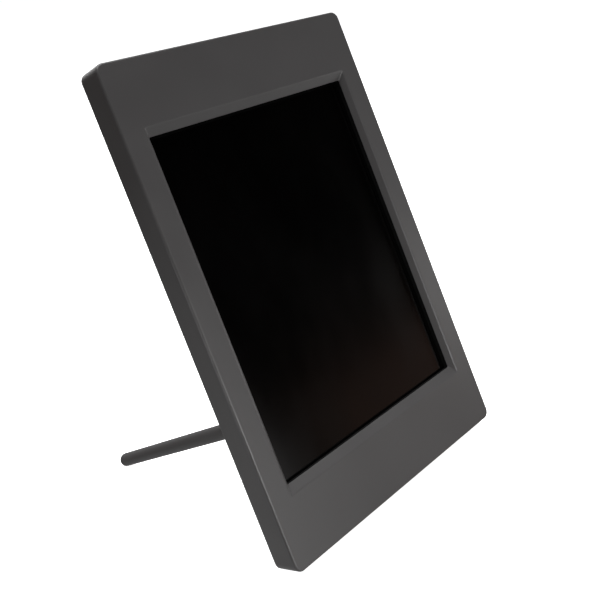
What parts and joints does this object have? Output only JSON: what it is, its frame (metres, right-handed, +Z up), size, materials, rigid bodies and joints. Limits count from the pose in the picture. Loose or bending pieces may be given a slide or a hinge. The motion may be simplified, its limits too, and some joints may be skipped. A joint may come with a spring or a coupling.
{
  "type": "digital photo frame",
  "caption": "Leaning charcoal digital photo frame with a recessed upright 4:3 display behind a bevelled window, held up by one slanted round rod that plugs into the back.",
  "frame": {"origin": "on the surface it stands on, under the middle of its bounding box", "axes": "+Z up, the display faces -Y and leans back by 22 degrees, +X to the right of a viewer facing the display"},
  "size_m": [0.15, 0.1394, 0.2197],
  "materials": {
    "casing_plastic": "fine satin moulded charcoal",
    "cover_plastic": "fine grained moulded charcoal",
    "black_screw": "black oxide",
    "black_foam": "matte foam",
    "display_face": "dark anti-glare glass",
    "light_guide": "clear acrylic",
    "lamp_strip": "white diode strip",
    "bare_steel": "plated",
    "flex_film": "amber film",
    "board_green": "solder mask",
    "chip_black": "moulded epoxy",
    "connector_ivory": "moulded",
    "socket_black": "moulded",
    "contact_metal": "nickel plate",
    "key_plastic": "satin",
    "rod_finish": "satin charcoal",
    "black_rubber": "matte",
    "speaker_paper": "pressed paper",
    "lead_cover": "soft insulation"
  },
  "bodies": {
    "frame": {"front_housing": "casing_plastic", "rear_cover": "cover_plastic", "casing_screws": "black_screw", "window_gasket": "black_foam", "display_glass": "display_face", "display_light_guide": "light_guide", "display_backlight": "lamp_strip", "display_tray": "bare_steel", "display_flex": "flex_film", "display_clips": "bare_steel", "clip_screws": "bare_steel", "main_board": "board_green", "board_screws": "bare_steel", "board_chips": "chip_black", "flex_connector": "connector_ivory", "power_socket": "socket_black", "power_socket_pin": "contact_metal", "usb_socket": "contact_metal", "card_socket": "contact_metal", "key_board": "board_green", "key_switches": "chip_black", "key_ribbon": "flex_film", "ribbon_connectors": "connector_ivory", "power_switch": "contact_metal", "stand_socket": "contact_metal", "foot_left": "black_rubber", "speaker_basket_left": "socket_black", "speaker_cone_left": "speaker_paper", "speaker_magnet_left": "bare_steel", "speaker_lead_left": "lead_cover", "foot_right": "black_rubber", "speaker_basket_right": "socket_black", "speaker_cone_right": "speaker_paper", "speaker_magnet_right": "bare_steel", "speaker_lead_right": "lead_cover"},
    "stand": {"stand_rod": "rod_finish", "stand_grip_ring": "black_rubber"},
    "power_slider": {"power_slider": "key_plastic"},
    "key_menu": {"key_menu": "key_plastic"},
    "key_up": {"key_up": "key_plastic"},
    "key_down": {"key_down": "key_plastic"},
    "key_back": {"key_back": "key_plastic"},
    "key_play": {"key_play": "key_plastic"},
    "key_enter": {"key_enter": "key_plastic"}
  },
  "joints": [
    {"name": "stand_rod_pull", "type": "slide", "parent": "frame", "child": "stand", "axis": [-0.1399, 0.872, -0.4691], "range_m": [0, 0.012]},
    {"name": "power_slider_travel", "type": "slide", "parent": "frame", "child": "power_slider", "axis": [0, 0.3746, 0.9272], "range_m": [0, 0.002]},
    {"name": "key_menu_press", "type": "slide", "parent": "frame", "child": "key_menu", "axis": [0, -0.9272, 0.3746], "range_m": [0, 0.0004], "stiffness_N_per_m": 1500, "springref_m": -0.0003},
    {"name": "key_up_press", "type": "slide", "parent": "frame", "child": "key_up", "axis": [0, -0.9272, 0.3746], "range_m": [0, 0.0004], "stiffness_N_per_m": 1500, "springref_m": -0.0003},
    {"name": "key_down_press", "type": "slide", "parent": "frame", "child": "key_down", "axis": [0, -0.9272, 0.3746], "range_m": [0, 0.0004], "stiffness_N_per_m": 1500, "springref_m": -0.0003},
    {"name": "key_back_press", "type": "slide", "parent": "frame", "child": "key_back", "axis": [0, -0.9272, 0.3746], "range_m": [0, 0.0004], "stiffness_N_per_m": 1500, "springref_m": -0.0003},
    {"name": "key_play_press", "type": "slide", "parent": "frame", "child": "key_play", "axis": [0, -0.9272, 0.3746], "range_m": [0, 0.0004], "stiffness_N_per_m": 1500, "springref_m": -0.0003},
    {"name": "key_enter_press", "type": "slide", "parent": "frame", "child": "key_enter", "axis": [0, -0.9272, 0.3746], "range_m": [0, 0.0004], "stiffness_N_per_m": 1500, "springref_m": -0.0003}
  ]
}
